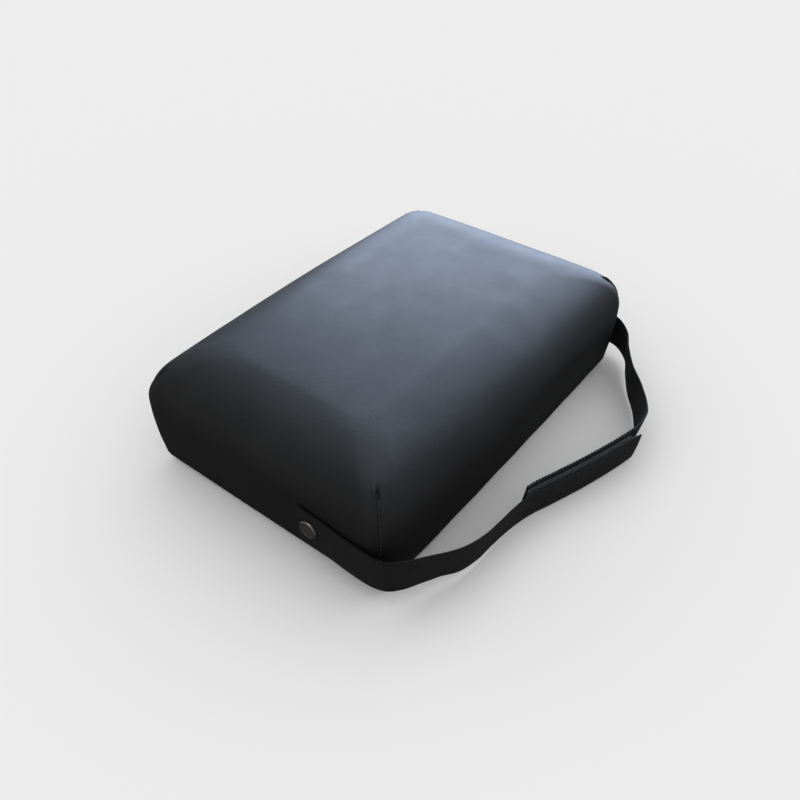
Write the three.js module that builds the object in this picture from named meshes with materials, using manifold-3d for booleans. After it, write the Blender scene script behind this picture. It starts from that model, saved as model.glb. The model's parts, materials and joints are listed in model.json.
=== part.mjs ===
// Kneeling pad: a foam-filled upholstered block on a wooden base, with a webbing carrying strap.
// Millimetres, +Z up. The origin is the centre of the base panel's underside.
// X runs along the pad's length, Y across it. The strap loops round the -Y long side.
import * as THREE from 'three';
import { mergeVertices } from 'three/addons/utils/BufferGeometryUtils.js';
import Module from 'manifold-3d';

const wasm = await Module();
wasm.setup();

// Cushion outline: half sizes at the shoulder, where the walls turn into the top.
const HALF_LENGTH = 197;
const HALF_WIDTH = 133;
const LEAN_LENGTH = 8;
const LEAN_WIDTH = 6;
const LEAN_CURVE = 1.76;
const SHOULDER_Z = 71;
const RIM_Z = 117;
const ROUND_IN = 56;
const ROUND_POWER = 2.2;
const CROWN = 9;
const END_BULGE = 2;
const SIDE_BULGE = 7.4;
const BASE_CORNER_RADIUS = 6;
const CORNER_RADIUS = 18;
const CORNER_GROWTH = 0.05;

// Facets round the outline: per corner, per long side, per short side.
const CORNER_STEPS = 4;
const LONG_STEPS = 10;
const SHORT_STEPS = 8;

// Layers from the ground up.
const GAP = 0.3;
const PANEL_THICKNESS = 6;
const PANEL_HALF_LENGTH = 185;
const PANEL_HALF_WIDTH = 123;
const VINYL_THICKNESS = 1.2;
const HEM_WIDTH = 24;
const BOARD_THICKNESS = 12;
const BOARD_HALF_LENGTH = 188;
const BOARD_HALF_WIDTH = 126;

const HEM_Z = PANEL_THICKNESS + GAP;
const BOARD_Z = HEM_Z + VINYL_THICKNESS + GAP;
const FOAM_Z = BOARD_Z + BOARD_THICKNESS + GAP;
const FOAM_INSET = VINYL_THICKNESS + 0.8;

// Panel screws and hem staples.
const SCREW_HEAD_RADIUS = 3.4;
const SCREW_SHANK_RADIUS = 1.6;
const SCREW_LENGTH = 16;
const SCREW_CLEARANCE = 0.3;
const STAPLE_CROWN = 10;
const STAPLE_LEG = 8;
const STAPLE_WIRE = 0.7;
const STAPLE_WIDTH = 1.2;
const STAPLE_INSET = 16;

// Strap of flat webbing, closed by a hook-and-loop lap.
const STRAP_WIDTH = 38;
const STRAP_THICKNESS = 1.8;
const HOOK_THICKNESS = 1.6;
const LOOP_THICKNESS = 2;
const TAPE_WIDTH = 36;
const PIVOT_Y = -65;
const PIVOT_Z = 47.5;
const STRAP_PLANE_X = 200.4;

// Rivets that hold the strap's ends and let it swing.
const CAP_RADIUS = 8.6;
const CAP_THICKNESS = 1.9;
const SHANK_RADIUS = 2.8;
const SHOULDER_RADIUS = 6;
const WASHER_RADIUS = 8;

// The strap's mid-line: x, y, z and the outward lean of its upper edge in degrees.
const NEAR_PATH = [
  [-STRAP_PLANE_X, -53, 48, 0],
  [-STRAP_PLANE_X, PIVOT_Y, 47.5, 0],
  [-STRAP_PLANE_X, -79, 46, 0],
  [-STRAP_PLANE_X, -94, 44, 0],
  [-STRAP_PLANE_X, -112, 42.5, 0],
  [-STRAP_PLANE_X, -128, 43, 2],
  [-198, -139.5, 44.5, 4],
  [-189, -148.5, 44.5, 5],
  [-174, -155, 40.5, 8],
  [-156, -161, 33.5, 11],
  [-139, -167, 27.5, 9],
  [-118, -171, 24, 10],
  [-97, -172, 22, 11],
  [-75, -173.5, 20.8, 10],
  [-50, -178, 20, 9],
  [-25, -187, 19.6, 8.5],
  [8, -199, 19.6, 8.5],
  [48, -211.5, 20, 9],
  [71, -217, 20, 9.5],
];
const LAP_START_X = -56;
const LAP_END_X = 67;
const LAP_RISE = 2.5;
const FAR_PATH = [
  [96, -208, 20, 10],
  [127, -191, 20, 2],
  [152, -171, 21, -3],
  [173.5, -157, 24, -6],
  [190.5, -147, 28, -7],
  [201, -131.5, 32, -6.5],
  [201.4, -112, 36, -5],
  [200.8, -95, 41, -1],
  [STRAP_PLANE_X, -79, 45, 0],
  [STRAP_PLANE_X, PIVOT_Y, 47.5, 0],
  [STRAP_PLANE_X, -53, 48.5, 0],
];
const STATION_SPACING = 9;

const pad = new THREE.Group();

// Materials

function material(color, roughness, metalness) {
  return new THREE.MeshStandardMaterial({ color, roughness, metalness });
}

const looks = {
  vinyl: () => material(0x17181a, 0.42, 0),
  foam: () => material(0xd9cf9f, 0.95, 0),
  plywood: () => material(0xb48a5a, 0.75, 0),
  panel: () => material(0x3a2c22, 0.8, 0),
  webbing: () => material(0x1a1b1d, 0.85, 0),
  hook: () => material(0x111214, 0.7, 0),
  loop: () => material(0x151617, 0.95, 0),
  thread: () => material(0x202124, 0.7, 0),
  rivet: () => material(0xa29a90, 0.35, 1),
  steel: () => material(0xb5b7ba, 0.4, 1),
};

function add(name, geometry, look) {
  geometry.deleteAttribute('normal');
  geometry.deleteAttribute('uv');
  const mesh = new THREE.Mesh(geometry, looks[look]());
  mesh.name = name;
  pad.add(mesh);
  return mesh;
}

// Booleans

function toSolid(geometry) {
  const bare = geometry.clone();
  bare.deleteAttribute('normal');
  bare.deleteAttribute('uv');
  const merged = mergeVertices(bare, 1e-4);
  return new wasm.Manifold(new wasm.Mesh({
    numProp: 3,
    vertProperties: new Float32Array(merged.attributes.position.array),
    triVerts: new Uint32Array(merged.index.array),
  }));
}

function toGeometry(solid) {
  const mesh = solid.getMesh();
  const geometry = new THREE.BufferGeometry();
  geometry.setAttribute('position', new THREE.BufferAttribute(new Float32Array(mesh.vertProperties), 3));
  geometry.setIndex(new THREE.BufferAttribute(new Uint32Array(mesh.triVerts), 1));
  return geometry;
}

function cut(geometry, tools) {
  let solid = toSolid(geometry);
  for (const tool of tools) {
    solid = solid.subtract(toSolid(tool));
  }
  return toGeometry(solid);
}

// Small shapes

function cylinderZ(radius, z0, z1, sides = 16) {
  const geometry = new THREE.CylinderGeometry(radius, radius, z1 - z0, sides);
  geometry.rotateX(Math.PI / 2);
  geometry.translate(0, 0, (z0 + z1) / 2);
  return geometry;
}

function cylinderX(radius, x0, x1, sides = 16) {
  const geometry = new THREE.CylinderGeometry(radius, radius, x1 - x0, sides);
  geometry.rotateZ(Math.PI / 2);
  geometry.translate((x0 + x1) / 2, PIVOT_Y, PIVOT_Z);
  return geometry;
}

function roundedRectangle(halfLength, halfWidth, radius) {
  const shape = new THREE.Shape();
  shape.moveTo(halfLength, -halfWidth + radius);
  shape.absarc(halfLength - radius, halfWidth - radius, radius, 0, Math.PI / 2);
  shape.absarc(-halfLength + radius, halfWidth - radius, radius, Math.PI / 2, Math.PI);
  shape.absarc(-halfLength + radius, -halfWidth + radius, radius, Math.PI, Math.PI * 1.5);
  shape.absarc(halfLength - radius, -halfWidth + radius, radius, Math.PI * 1.5, Math.PI * 2);
  return shape;
}

function slab(halfLength, halfWidth, radius, z0, z1) {
  const shape = roundedRectangle(halfLength, halfWidth, radius);
  const geometry = new THREE.ExtrudeGeometry(shape, { depth: z1 - z0, bevelEnabled: false, curveSegments: 4 });
  geometry.translate(0, 0, z0);
  return geometry;
}

// Cushion form: closed rings from the crowned top down to the base.

function outline(halfLength, halfWidth, radius) {
  const points = [];
  const corners = [
    [1, 1, SHORT_STEPS, LONG_STEPS],
    [-1, 1, LONG_STEPS, SHORT_STEPS],
    [-1, -1, SHORT_STEPS, LONG_STEPS],
    [1, -1, LONG_STEPS, SHORT_STEPS],
  ];
  corners.forEach(([sx, sy, , stepsAfter], quarter) => {
    const cx = sx * (halfLength - radius);
    const cy = sy * (halfWidth - radius);
    for (let i = 0; i <= CORNER_STEPS; i += 1) {
      const angle = (quarter + i / CORNER_STEPS) * Math.PI / 2;
      points.push(new THREE.Vector2(cx + radius * Math.cos(angle), cy + radius * Math.sin(angle)));
    }
    const [nextX, nextY] = corners[(quarter + 1) % 4];
    const from = points[points.length - 1];
    const nextAngle = (quarter + 1) * Math.PI / 2;
    const to = new THREE.Vector2(
      nextX * (halfLength - radius) + radius * Math.cos(nextAngle),
      nextY * (halfWidth - radius) + radius * Math.sin(nextAngle),
    );
    for (let i = 1; i < stepsAfter; i += 1) {
      points.push(from.clone().lerp(to, i / stepsAfter));
    }
  });
  return points;
}

function bulged(point, share) {
  const out = point.clone();
  if (Math.abs(point.x) > HALF_LENGTH * 0.6) {
    const spread = Math.max(0, 1 - (point.y / HALF_WIDTH) ** 2);
    out.x += Math.sign(point.x) * END_BULGE * share * spread;
  }
  if (Math.abs(point.y) > HALF_WIDTH * 0.5) {
    const spread = Math.max(0, 1 - (point.x / HALF_LENGTH) ** 2);
    out.y += Math.sign(point.y) * SIDE_BULGE * share * spread;
  }
  return out;
}

function wallRing(z, inset) {
  const rise = z / SHOULDER_Z;
  const lean = (1 - rise) ** LEAN_CURVE;
  const radius = BASE_CORNER_RADIUS + (CORNER_RADIUS - BASE_CORNER_RADIUS) * rise - inset / 2;
  const halfLength = HALF_LENGTH - LEAN_LENGTH * lean - inset;
  const halfWidth = HALF_WIDTH - LEAN_WIDTH * lean - inset;
  const share = Math.sin(rise * Math.PI / 2);
  return outline(halfLength, halfWidth, radius).map((point) => {
    const p = bulged(point, share);
    return new THREE.Vector3(p.x, p.y, z);
  });
}

function topHeight(x, y, inward) {
  const remaining = Math.max(0, 1 - inward / ROUND_IN);
  const rise = (1 - remaining ** ROUND_POWER) ** (1 / ROUND_POWER);
  const crown = Math.max(0, 1 - (x / HALF_LENGTH) ** 2) * Math.max(0, 1 - (y / HALF_WIDTH) ** 2);
  return SHOULDER_Z + (RIM_Z - SHOULDER_Z) * rise + CROWN * crown * Math.min(1, inward / ROUND_IN);
}

function roundRing(inward, inset) {
  const radius = CORNER_RADIUS + CORNER_GROWTH * inward - inset / 2;
  const flat = outline(HALF_LENGTH - inward - inset, HALF_WIDTH - inward - inset, radius);
  return flat.map((point) => {
    const p = bulged(point, 1 - inward / ROUND_IN);
    return new THREE.Vector3(p.x, p.y, topHeight(p.x, p.y, inward) - inset);
  });
}

function topRing(share, inset) {
  const edge = roundRing(ROUND_IN, inset);
  return edge.map((point) => {
    const x = point.x * share;
    const y = point.y * share;
    return new THREE.Vector3(x, y, topHeight(x, y, ROUND_IN) - inset);
  });
}

function cushion(inset, bottomZ) {
  const rings = [];
  for (const share of [0.35, 0.7]) {
    rings.push(topRing(share, inset));
  }
  for (let i = 6; i >= 1; i -= 1) {
    rings.push(roundRing(ROUND_IN * (1 - Math.cos(i * Math.PI / 12)), inset));
  }
  for (let i = 0; i <= 4; i += 1) {
    rings.push(wallRing(SHOULDER_Z + (bottomZ - SHOULDER_Z) * i / 4, inset));
  }
  const around = rings[0].length;
  const geometry = new THREE.SphereGeometry(1, around, rings.length + 1);
  const position = geometry.attributes.position;
  for (let row = 0; row <= rings.length + 1; row += 1) {
    for (let column = 0; column <= around; column += 1) {
      const index = row * (around + 1) + column;
      if (row === 0) {
        position.setXYZ(index, 0, 0, topHeight(0, 0, ROUND_IN) - inset);
      } else if (row === rings.length + 1) {
        position.setXYZ(index, 0, 0, bottomZ);
      } else {
        const point = rings[row - 1][column % around];
        position.setXYZ(index, point.x, point.y, point.z);
      }
    }
  }
  return geometry;
}

// Base: panel, board, screws and staples.

const screwSpots = [];
for (const x of [-154, 0, 154]) {
  for (const y of [-92, 92]) {
    screwSpots.push([x, y]);
  }
}

function screwProfile(extra) {
  const head = SCREW_HEAD_RADIUS + extra;
  const shank = SCREW_SHANK_RADIUS + extra;
  const top = SCREW_LENGTH + extra;
  const low = extra > 0 ? -1 : 0.2;
  return [
    new THREE.Vector2(0, low),
    new THREE.Vector2(head, low),
    new THREE.Vector2(head, 0.5),
    new THREE.Vector2(shank, 2.6),
    new THREE.Vector2(shank, top - 3),
    new THREE.Vector2(0, top),
  ];
}

function screwSolid(x, y, extra) {
  const geometry = new THREE.LatheGeometry(screwProfile(extra), 12);
  geometry.rotateX(Math.PI / 2);
  geometry.translate(x, y, 0);
  return geometry;
}

const staples = [];
for (let i = 0; i < 6; i += 1) {
  const x = -150 + 60 * i;
  for (const side of [-1, 1]) {
    staples.push({ x, y: side * (HALF_WIDTH - LEAN_WIDTH - STAPLE_INSET), turn: 0 });
  }
}
for (let i = 0; i < 4; i += 1) {
  const y = -72 + 48 * i;
  for (const side of [-1, 1]) {
    staples.push({ x: side * (HALF_LENGTH - LEAN_LENGTH - STAPLE_INSET), y, turn: Math.PI / 2 });
  }
}

function stapleSolid(spot) {
  const half = STAPLE_CROWN / 2;
  const inner = half - STAPLE_WIRE;
  const shape = new THREE.Shape();
  shape.moveTo(-half, 0);
  shape.lineTo(half, 0);
  shape.lineTo(half, STAPLE_LEG);
  shape.lineTo(inner, STAPLE_LEG);
  shape.lineTo(inner, STAPLE_WIRE);
  shape.lineTo(-inner, STAPLE_WIRE);
  shape.lineTo(-inner, STAPLE_LEG);
  shape.lineTo(-half, STAPLE_LEG);
  shape.closePath();
  const geometry = new THREE.ExtrudeGeometry(shape, { depth: STAPLE_WIDTH, bevelEnabled: false });
  geometry.translate(0, 0, -STAPLE_WIDTH / 2);
  geometry.rotateX(Math.PI / 2);
  geometry.rotateZ(spot.turn);
  geometry.translate(spot.x, spot.y, HEM_Z + 0.1);
  return geometry;
}

function stapleSlot(spot) {
  const low = HEM_Z - 1;
  const high = HEM_Z + STAPLE_LEG + 0.6;
  const geometry = new THREE.BoxGeometry(STAPLE_CROWN + 2 * GAP, STAPLE_WIDTH + 2 * GAP, high - low);
  geometry.rotateZ(spot.turn);
  geometry.translate(spot.x, spot.y, (low + high) / 2);
  return geometry;
}

const screwHoles = screwSpots.map(([x, y]) => screwSolid(x, y, SCREW_CLEARANCE));
const stapleSlots = staples.map(stapleSlot);

const panelSlab = slab(PANEL_HALF_LENGTH, PANEL_HALF_WIDTH, 6, 0, PANEL_THICKNESS);
add('base_panel', cut(panelSlab, screwHoles), 'panel');

const boardSlab = slab(BOARD_HALF_LENGTH, BOARD_HALF_WIDTH, 6, BOARD_Z, BOARD_Z + BOARD_THICKNESS);
add('base_board', cut(boardSlab, [...screwHoles, ...stapleSlots]), 'plywood');

screwSpots.forEach(([x, y], i) => {
  add(`panel_screw_${i + 1}`, mergeVertices(screwSolid(x, y, 0)), 'steel');
});

staples.forEach((spot, i) => {
  add(`hem_staple_${String(i + 1).padStart(2, '0')}`, stapleSolid(spot), 'steel');
});

// Upholstery: foam block and one-piece vinyl cover, open underneath inside its hem.

function rivetStack(side) {
  const coverHole = cylinderX(SHANK_RADIUS + 0.4, side * 190 - 12, side * 190 + 12, 12);
  const foamPocket = cylinderX(WASHER_RADIUS + 2, side * 195 - 6, side * 195 + 6, 12);
  return { coverHole, foamPocket };
}

const stacks = [rivetStack(-1), rivetStack(1)];

const foam = cushion(FOAM_INSET, FOAM_Z);
add('foam_block', cut(foam, stacks.map((stack) => stack.foamPocket)), 'foam');

const coverInside = cushion(VINYL_THICKNESS, HEM_Z + VINYL_THICKNESS);
const coverMouth = slab(
  HALF_LENGTH - LEAN_LENGTH - HEM_WIDTH,
  HALF_WIDTH - LEAN_WIDTH - HEM_WIDTH,
  8,
  HEM_Z - 1,
  HEM_Z + 3,
);
const coverCuts = [coverInside, coverMouth, ...stapleSlots, ...stacks.map((stack) => stack.coverHole)];
add('vinyl_cover', cut(cushion(0, HEM_Z), coverCuts), 'vinyl');

// Corner seams: one run of thread up each corner.

function cornerPoint(sx, sy, z, inward) {
  const radius = inward > 0
    ? CORNER_RADIUS + CORNER_GROWTH * inward
    : BASE_CORNER_RADIUS + (CORNER_RADIUS - BASE_CORNER_RADIUS) * z / SHOULDER_Z;
  const lean = inward > 0 ? 0 : (1 - z / SHOULDER_Z) ** LEAN_CURVE;
  const trim = radius * (1 - Math.SQRT1_2) + inward;
  const x = HALF_LENGTH - LEAN_LENGTH * lean - trim;
  const y = HALF_WIDTH - LEAN_WIDTH * lean - trim;
  return [sx * x, sy * y, inward > 0 ? topHeight(x, y, inward) : z];
}

function cornerThread(sx, sy) {
  const points = [];
  const lift = 1.1;
  for (const z of [9, 25, 41, 57, SHOULDER_Z]) {
    const [x, y, height] = cornerPoint(sx, sy, z, 0);
    points.push(new THREE.Vector3(x + sx * lift, y + sy * lift, height));
  }
  for (const inward of [1.5, 4.5, 9]) {
    const [x, y, height] = cornerPoint(sx, sy, 0, inward);
    points.push(new THREE.Vector3(x + sx * lift, y + sy * lift, height + lift * inward / 6));
  }
  const path = new THREE.CatmullRomCurve3(points);
  const section = new THREE.Shape();
  const radius = 0.5;
  for (let i = 0; i < 6; i += 1) {
    const angle = i * Math.PI / 3;
    const at = [radius * Math.cos(angle), radius * Math.sin(angle)];
    if (i === 0) {
      section.moveTo(...at);
    } else {
      section.lineTo(...at);
    }
  }
  section.closePath();
  return new THREE.ExtrudeGeometry(section, { steps: 14, bevelEnabled: false, extrudePath: path });
}

add('corner_thread_1', cornerThread(-1, -1), 'thread');
add('corner_thread_2', cornerThread(-1, 1), 'thread');
add('corner_thread_3', cornerThread(1, -1), 'thread');
add('corner_thread_4', cornerThread(1, 1), 'thread');

// Strap: flat bands that follow stations along a mid-line.

function stationsAlong(path) {
  const curve = new THREE.CatmullRomCurve3(path.map(([x, y, z]) => new THREE.Vector3(x, y, z)), false, 'centripetal');
  const count = Math.round(curve.getLength() / STATION_SPACING);
  const stations = [];
  for (let i = 0; i <= count; i += 1) {
    const t = curve.getUtoTmapping(i / count);
    const along = t * (path.length - 1);
    const knot = Math.min(Math.floor(along), path.length - 2);
    const lean = THREE.MathUtils.lerp(path[knot][3], path[knot + 1][3], along - knot);
    stations.push({ at: curve.getPoint(t), lean: THREE.MathUtils.degToRad(lean) });
  }
  return stations;
}

function orient(stations) {
  const zAxis = new THREE.Vector3(0, 0, 1);
  stations.forEach((station, i) => {
    const before = stations[Math.max(0, i - 1)].at;
    const after = stations[Math.min(stations.length - 1, i + 1)].at;
    const tangent = after.clone().sub(before).setZ(0).normalize();
    const flatInward = zAxis.clone().cross(tangent);
    station.up = zAxis.clone().multiplyScalar(Math.cos(station.lean));
    station.up.addScaledVector(flatInward, -Math.sin(station.lean));
    station.inward = flatInward.multiplyScalar(Math.cos(station.lean));
    station.inward.addScaledVector(zAxis, Math.sin(station.lean));
  });
  return stations;
}

function band(stations, thickness, width, offset) {
  const steps = stations.length - 1;
  const geometry = new THREE.BoxGeometry(1, thickness, width, steps, 1, 1);
  const position = geometry.attributes.position;
  for (let i = 0; i < position.count; i += 1) {
    const station = stations[Math.round((position.getX(i) + 0.5) * steps)];
    const point = station.at.clone();
    point.addScaledVector(station.inward, offset + position.getY(i));
    point.addScaledVector(station.up, position.getZ(i));
    position.setXYZ(i, point.x, point.y, point.z);
  }
  geometry.deleteAttribute('normal');
  geometry.deleteAttribute('uv');
  return mergeVertices(geometry);
}

const nearStations = orient(stationsAlong(NEAR_PATH));
const lapStations = nearStations.filter(({ at }) => at.y < -150 && at.x > LAP_START_X && at.x < LAP_END_X);
const hookOffset = STRAP_THICKNESS / 2 + GAP + HOOK_THICKNESS / 2;
const loopOffset = hookOffset + HOOK_THICKNESS / 2 + GAP + LOOP_THICKNESS / 2;
const farOffset = loopOffset + LOOP_THICKNESS / 2 + GAP + STRAP_THICKNESS / 2;

const farLap = lapStations.map(({ at, lean, inward, up }) => ({
  at: at.clone().addScaledVector(inward, farOffset).addScaledVector(up, LAP_RISE),
  lean,
}));
const farKnots = farLap.slice(-2).map(({ at, lean }) => [at.x, at.y, at.z, THREE.MathUtils.radToDeg(lean)]);
const farOwn = stationsAlong([...farKnots, ...FAR_PATH]);
const farStations = orient([...farLap.slice(0, -2), ...farOwn]);

const pivotHole = cylinderX(SHANK_RADIUS + 0.4, -220, 220, 16);

add('strap_near_half', cut(band(nearStations, STRAP_THICKNESS, STRAP_WIDTH, 0), [pivotHole]), 'webbing');
add('strap_far_half', cut(band(farStations, STRAP_THICKNESS, STRAP_WIDTH, 0), [pivotHole]), 'webbing');
add('hook_tape', band(lapStations.slice(1), HOOK_THICKNESS, TAPE_WIDTH, hookOffset), 'hook');
add('loop_tape', band(lapStations.slice(0, -2), LOOP_THICKNESS, TAPE_WIDTH, loopOffset), 'loop');

// Rivets: flat cap, pivot shank, shoulder against the cover, spread tail behind a washer.

const STRAP_FACE_OUT = STRAP_PLANE_X + STRAP_THICKNESS / 2 + GAP;
const STRAP_FACE_IN = STRAP_PLANE_X - STRAP_THICKNESS / 2 - GAP;
const COVER_FACE = 198;
const WASHER_OUT = 193.8;
const WASHER_IN = WASHER_OUT - 1;

function rivet(side) {
  const outer = STRAP_FACE_OUT + CAP_THICKNESS;
  const profile = [
    [0, WASHER_IN - GAP - 1.5],
    [4.4, WASHER_IN - GAP - 1.5],
    [4.4, WASHER_IN - GAP],
    [SHANK_RADIUS, WASHER_IN - GAP],
    [SHANK_RADIUS, COVER_FACE],
    [SHOULDER_RADIUS, COVER_FACE],
    [SHOULDER_RADIUS, STRAP_FACE_IN],
    [SHANK_RADIUS, STRAP_FACE_IN],
    [SHANK_RADIUS, STRAP_FACE_OUT],
    [CAP_RADIUS, STRAP_FACE_OUT],
    [CAP_RADIUS, STRAP_FACE_OUT + 1],
    [CAP_RADIUS - 1.4, outer],
    [0, outer],
  ].map(([r, x]) => new THREE.Vector2(r, x));
  const geometry = new THREE.LatheGeometry(profile, 24);
  geometry.rotateZ(side > 0 ? -Math.PI / 2 : Math.PI / 2);
  geometry.translate(0, PIVOT_Y, PIVOT_Z);
  return geometry;
}

function washer(side) {
  const x0 = side > 0 ? WASHER_IN : -WASHER_OUT;
  const x1 = side > 0 ? WASHER_OUT : -WASHER_IN;
  const disc = cylinderX(WASHER_RADIUS, x0, x1, 20);
  const bore = cylinderX(SHANK_RADIUS + 0.3, x0 - 1, x1 + 1, 16);
  return cut(disc, [bore]);
}

add('rivet_near', mergeVertices(rivet(-1)), 'rivet');
add('rivet_far', mergeVertices(rivet(1)), 'rivet');
add('washer_near', washer(-1), 'steel');
add('washer_far', washer(1), 'steel');

export default pad;
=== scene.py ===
"""Kneeling pad: a vinyl cushion on a wooden base with a hook-and-loop carrying strap.

Metres, +Z up, in the CAD model's frame. Shapes are worked out in millimetres
and turned into metres when a mesh is made.
"""

import json
import math

import bpy
import numpy as np
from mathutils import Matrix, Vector, noise

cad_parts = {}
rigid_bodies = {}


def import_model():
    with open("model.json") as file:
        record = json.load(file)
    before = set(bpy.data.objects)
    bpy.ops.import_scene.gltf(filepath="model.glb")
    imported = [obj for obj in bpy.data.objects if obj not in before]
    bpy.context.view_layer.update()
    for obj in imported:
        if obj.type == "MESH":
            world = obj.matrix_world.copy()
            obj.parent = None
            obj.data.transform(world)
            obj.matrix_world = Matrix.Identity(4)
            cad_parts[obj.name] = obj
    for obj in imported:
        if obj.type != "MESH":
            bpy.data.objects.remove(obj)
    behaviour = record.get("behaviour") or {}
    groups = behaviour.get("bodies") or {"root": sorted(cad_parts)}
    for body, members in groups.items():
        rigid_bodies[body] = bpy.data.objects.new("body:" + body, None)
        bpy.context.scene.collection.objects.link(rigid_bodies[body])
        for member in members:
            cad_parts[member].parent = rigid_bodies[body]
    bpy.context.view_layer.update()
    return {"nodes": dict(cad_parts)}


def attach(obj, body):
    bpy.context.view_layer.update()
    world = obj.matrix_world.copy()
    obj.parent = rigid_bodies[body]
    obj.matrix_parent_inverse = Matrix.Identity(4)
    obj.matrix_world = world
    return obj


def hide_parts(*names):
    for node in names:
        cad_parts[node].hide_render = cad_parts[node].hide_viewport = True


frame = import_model()

MM = 0.001

# Cushion outline, the same form as the CAD cushion.
HALF_LENGTH = 197.0
HALF_WIDTH = 133.0
LEAN_LENGTH = 8.0
LEAN_WIDTH = 6.0
LEAN_CURVE = 1.76
SHOULDER_Z = 71.0
RIM_Z = 117.0
ROUND_IN = 56.0
ROUND_POWER = 2.2
CROWN = 9.0
END_BULGE = 2.0
SIDE_BULGE = 7.4
BASE_CORNER_RADIUS = 6.0
CORNER_RADIUS = 18.0
CORNER_GROWTH = 0.05
HEM_Z = 6.3
HEM_WIDTH = 24.0
VINYL_THICKNESS = 1.2
FOAM_Z = 20.1
FOAM_INSET = 2.6
EDGE_ROLL = 1.6

# Mesh density round the cushion and up its rings.
CORNER_STEPS = 28
LONG_STEPS = 78
SHORT_STEPS = 56
WALL_RINGS = 44
ROUND_RINGS = 44
TOP_RINGS = 14

# Corner seams.
SEAM_END_IN = 15.5
SEAM_REACH = 9.0
STITCH_PITCH = 4.2
STITCH_LENGTH = 2.9
STITCH_RADIUS = 0.38

# Relief along a corner seam: height, and the place and width of its bell across the seam.
RIDGE = (1.05, -0.95, 0.75)
GROOVE = (-0.95, 0.7, 0.75)
SHALLOW = (-0.4, 2.2, 4.0)
# Relief at a seam's upper end: as above, then the bell's place past SEAM_END_IN and its length.
DIMPLE = (-1.7, 1.2, 1.3, -3.0, 2.4)
LIP = (0.85, -1.5, 1.2, -3.0, 4.5)
SWELL = (0.35, 4.4, 3.0, -1.0, 5.0)

# Slow unevenness of the cover: height, wavelengths along x, y and z, and shifts in the noise.
UNEVEN_LAYERS = (
    (0.45, (75, 75, 60), (0, 0, 3.7)),
    (0.16, (28, 28, 24), (9, 0, 0)),
)
SETTLE_HEIGHT = 12.0
STAPLE_PULL = 0.2
STAPLE_PITCH = 60.0

# The foam is pressed in round the rivets' tails.
DENT_DEPTH = 7.0
DENT_RADIUS = 16.0
DENT_FADE = 6.0

# Strap.
STRAP_WIDTH = 38.0
STRAP_THICKNESS = 1.8
HOOK_THICKNESS = 1.6
LOOP_THICKNESS = 2.0
TAPE_WIDTH = 36.0
LAYER_GAP = 0.3
PIVOT_Y = -65.0
PIVOT_Z = 47.5
STRAP_PLANE_X = 200.4
LAP_START_X = -56.0
LAP_END_X = 67.0
LAP_RISE = 2.5
WEB_STEP = 0.55
RIB_PITCH = 2.2
RIB_DEPTH = 0.11
EDGE_LOOP_DEPTH = 0.09
BAND_EDGE = 0.9
TAPE_SHORTFALL = 9.0
LAP_THREAD_RADIUS = 0.34
LAP_STITCH_ACROSS = 16.0

# The near half's upper corner is taken down and drawn back over the end of its run.
CORNER_RUN = 15.0
CORNER_DROP = 3.4
CORNER_BACK = 2.4

# Whip stitches over the far half's edge.
WHIP_PITCH = 3.4
WHIP_SLANT = 0.6
WHIP_DEPTH = 1.7
WHIP_PROUD = 0.25
WHIP_THREAD_RADIUS = 0.5

# The strap's mid-line: x, y, z and the outward lean of its upper edge in degrees.
NEAR_PATH = [
    (-STRAP_PLANE_X, -53, 48, 0),
    (-STRAP_PLANE_X, PIVOT_Y, PIVOT_Z, 0),
    (-STRAP_PLANE_X, -79, 46, 0),
    (-STRAP_PLANE_X, -94, 44, 0),
    (-STRAP_PLANE_X, -112, 42.5, 0),
    (-STRAP_PLANE_X, -128, 43, 2),
    (-198, -139.5, 44.5, 4),
    (-189, -148.5, 44.5, 5),
    (-174, -155, 40.5, 8),
    (-156, -161, 33.5, 11),
    (-139, -167, 27.5, 9),
    (-118, -171, 24, 10),
    (-97, -172, 22, 11),
    (-75, -173.5, 20.8, 10),
    (-50, -178, 20, 9),
    (-25, -187, 19.6, 8.5),
    (8, -199, 19.6, 8.5),
    (48, -211.5, 20, 9),
    (71, -217, 20, 9.5),
]
FAR_PATH = [
    (96, -208, 20, 10),
    (127, -191, 20, 2),
    (152, -171, 21, -3),
    (173.5, -157, 24, -6),
    (190.5, -147, 28, -7),
    (201, -131.5, 32, -6.5),
    (201.4, -112, 36, -5),
    (200.8, -95, 41, -1),
    (STRAP_PLANE_X, -79, 45, 0),
    (STRAP_PLANE_X, PIVOT_Y, PIVOT_Z, 0),
    (STRAP_PLANE_X, -53, 48.5, 0),
]

# Camera and studio.
CAMERA_PLACE = Vector((-0.4700, -0.3645, 0.5220))
CAMERA_AIM = Vector((-0.0490, -0.0364, 0.0600))
CAMERA_ROLL = 0.27
CAMERA_LENS = 35.54
CAMERA_CLIP_START = 0.01
FLOOR_RADIUS = 14.0
AIM_HEIGHT = 0.06
# Softboxes: name, azimuth, elevation, distance, width, height, radiance and colour.
SOFTBOXES = (
    ("window", -71, 23, 1.6, 2.1, 1.4, 5.4, (0.79, 0.95, 1.25)),
    ("ceiling", 0, 88, 1.9, 1.8, 1.8, 0.9, (0.85, 0.95, 1.15)),
)


# ---------------------------------------------------------------- meshes


def make_object(name, points, faces, material, sharp_angle=None):
    """A mesh object from points in millimetres."""
    mesh = bpy.data.meshes.new(name)
    mesh.from_pydata([tuple(p) for p in np.asarray(points) * MM], [], faces)
    mesh.validate()
    mesh.shade_smooth()
    if sharp_angle is not None:
        mesh.set_sharp_from_angle(angle=math.radians(sharp_angle))
    mesh.materials.append(material)
    made = bpy.data.objects.new(name, mesh)
    bpy.context.scene.collection.objects.link(made)
    return made


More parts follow.
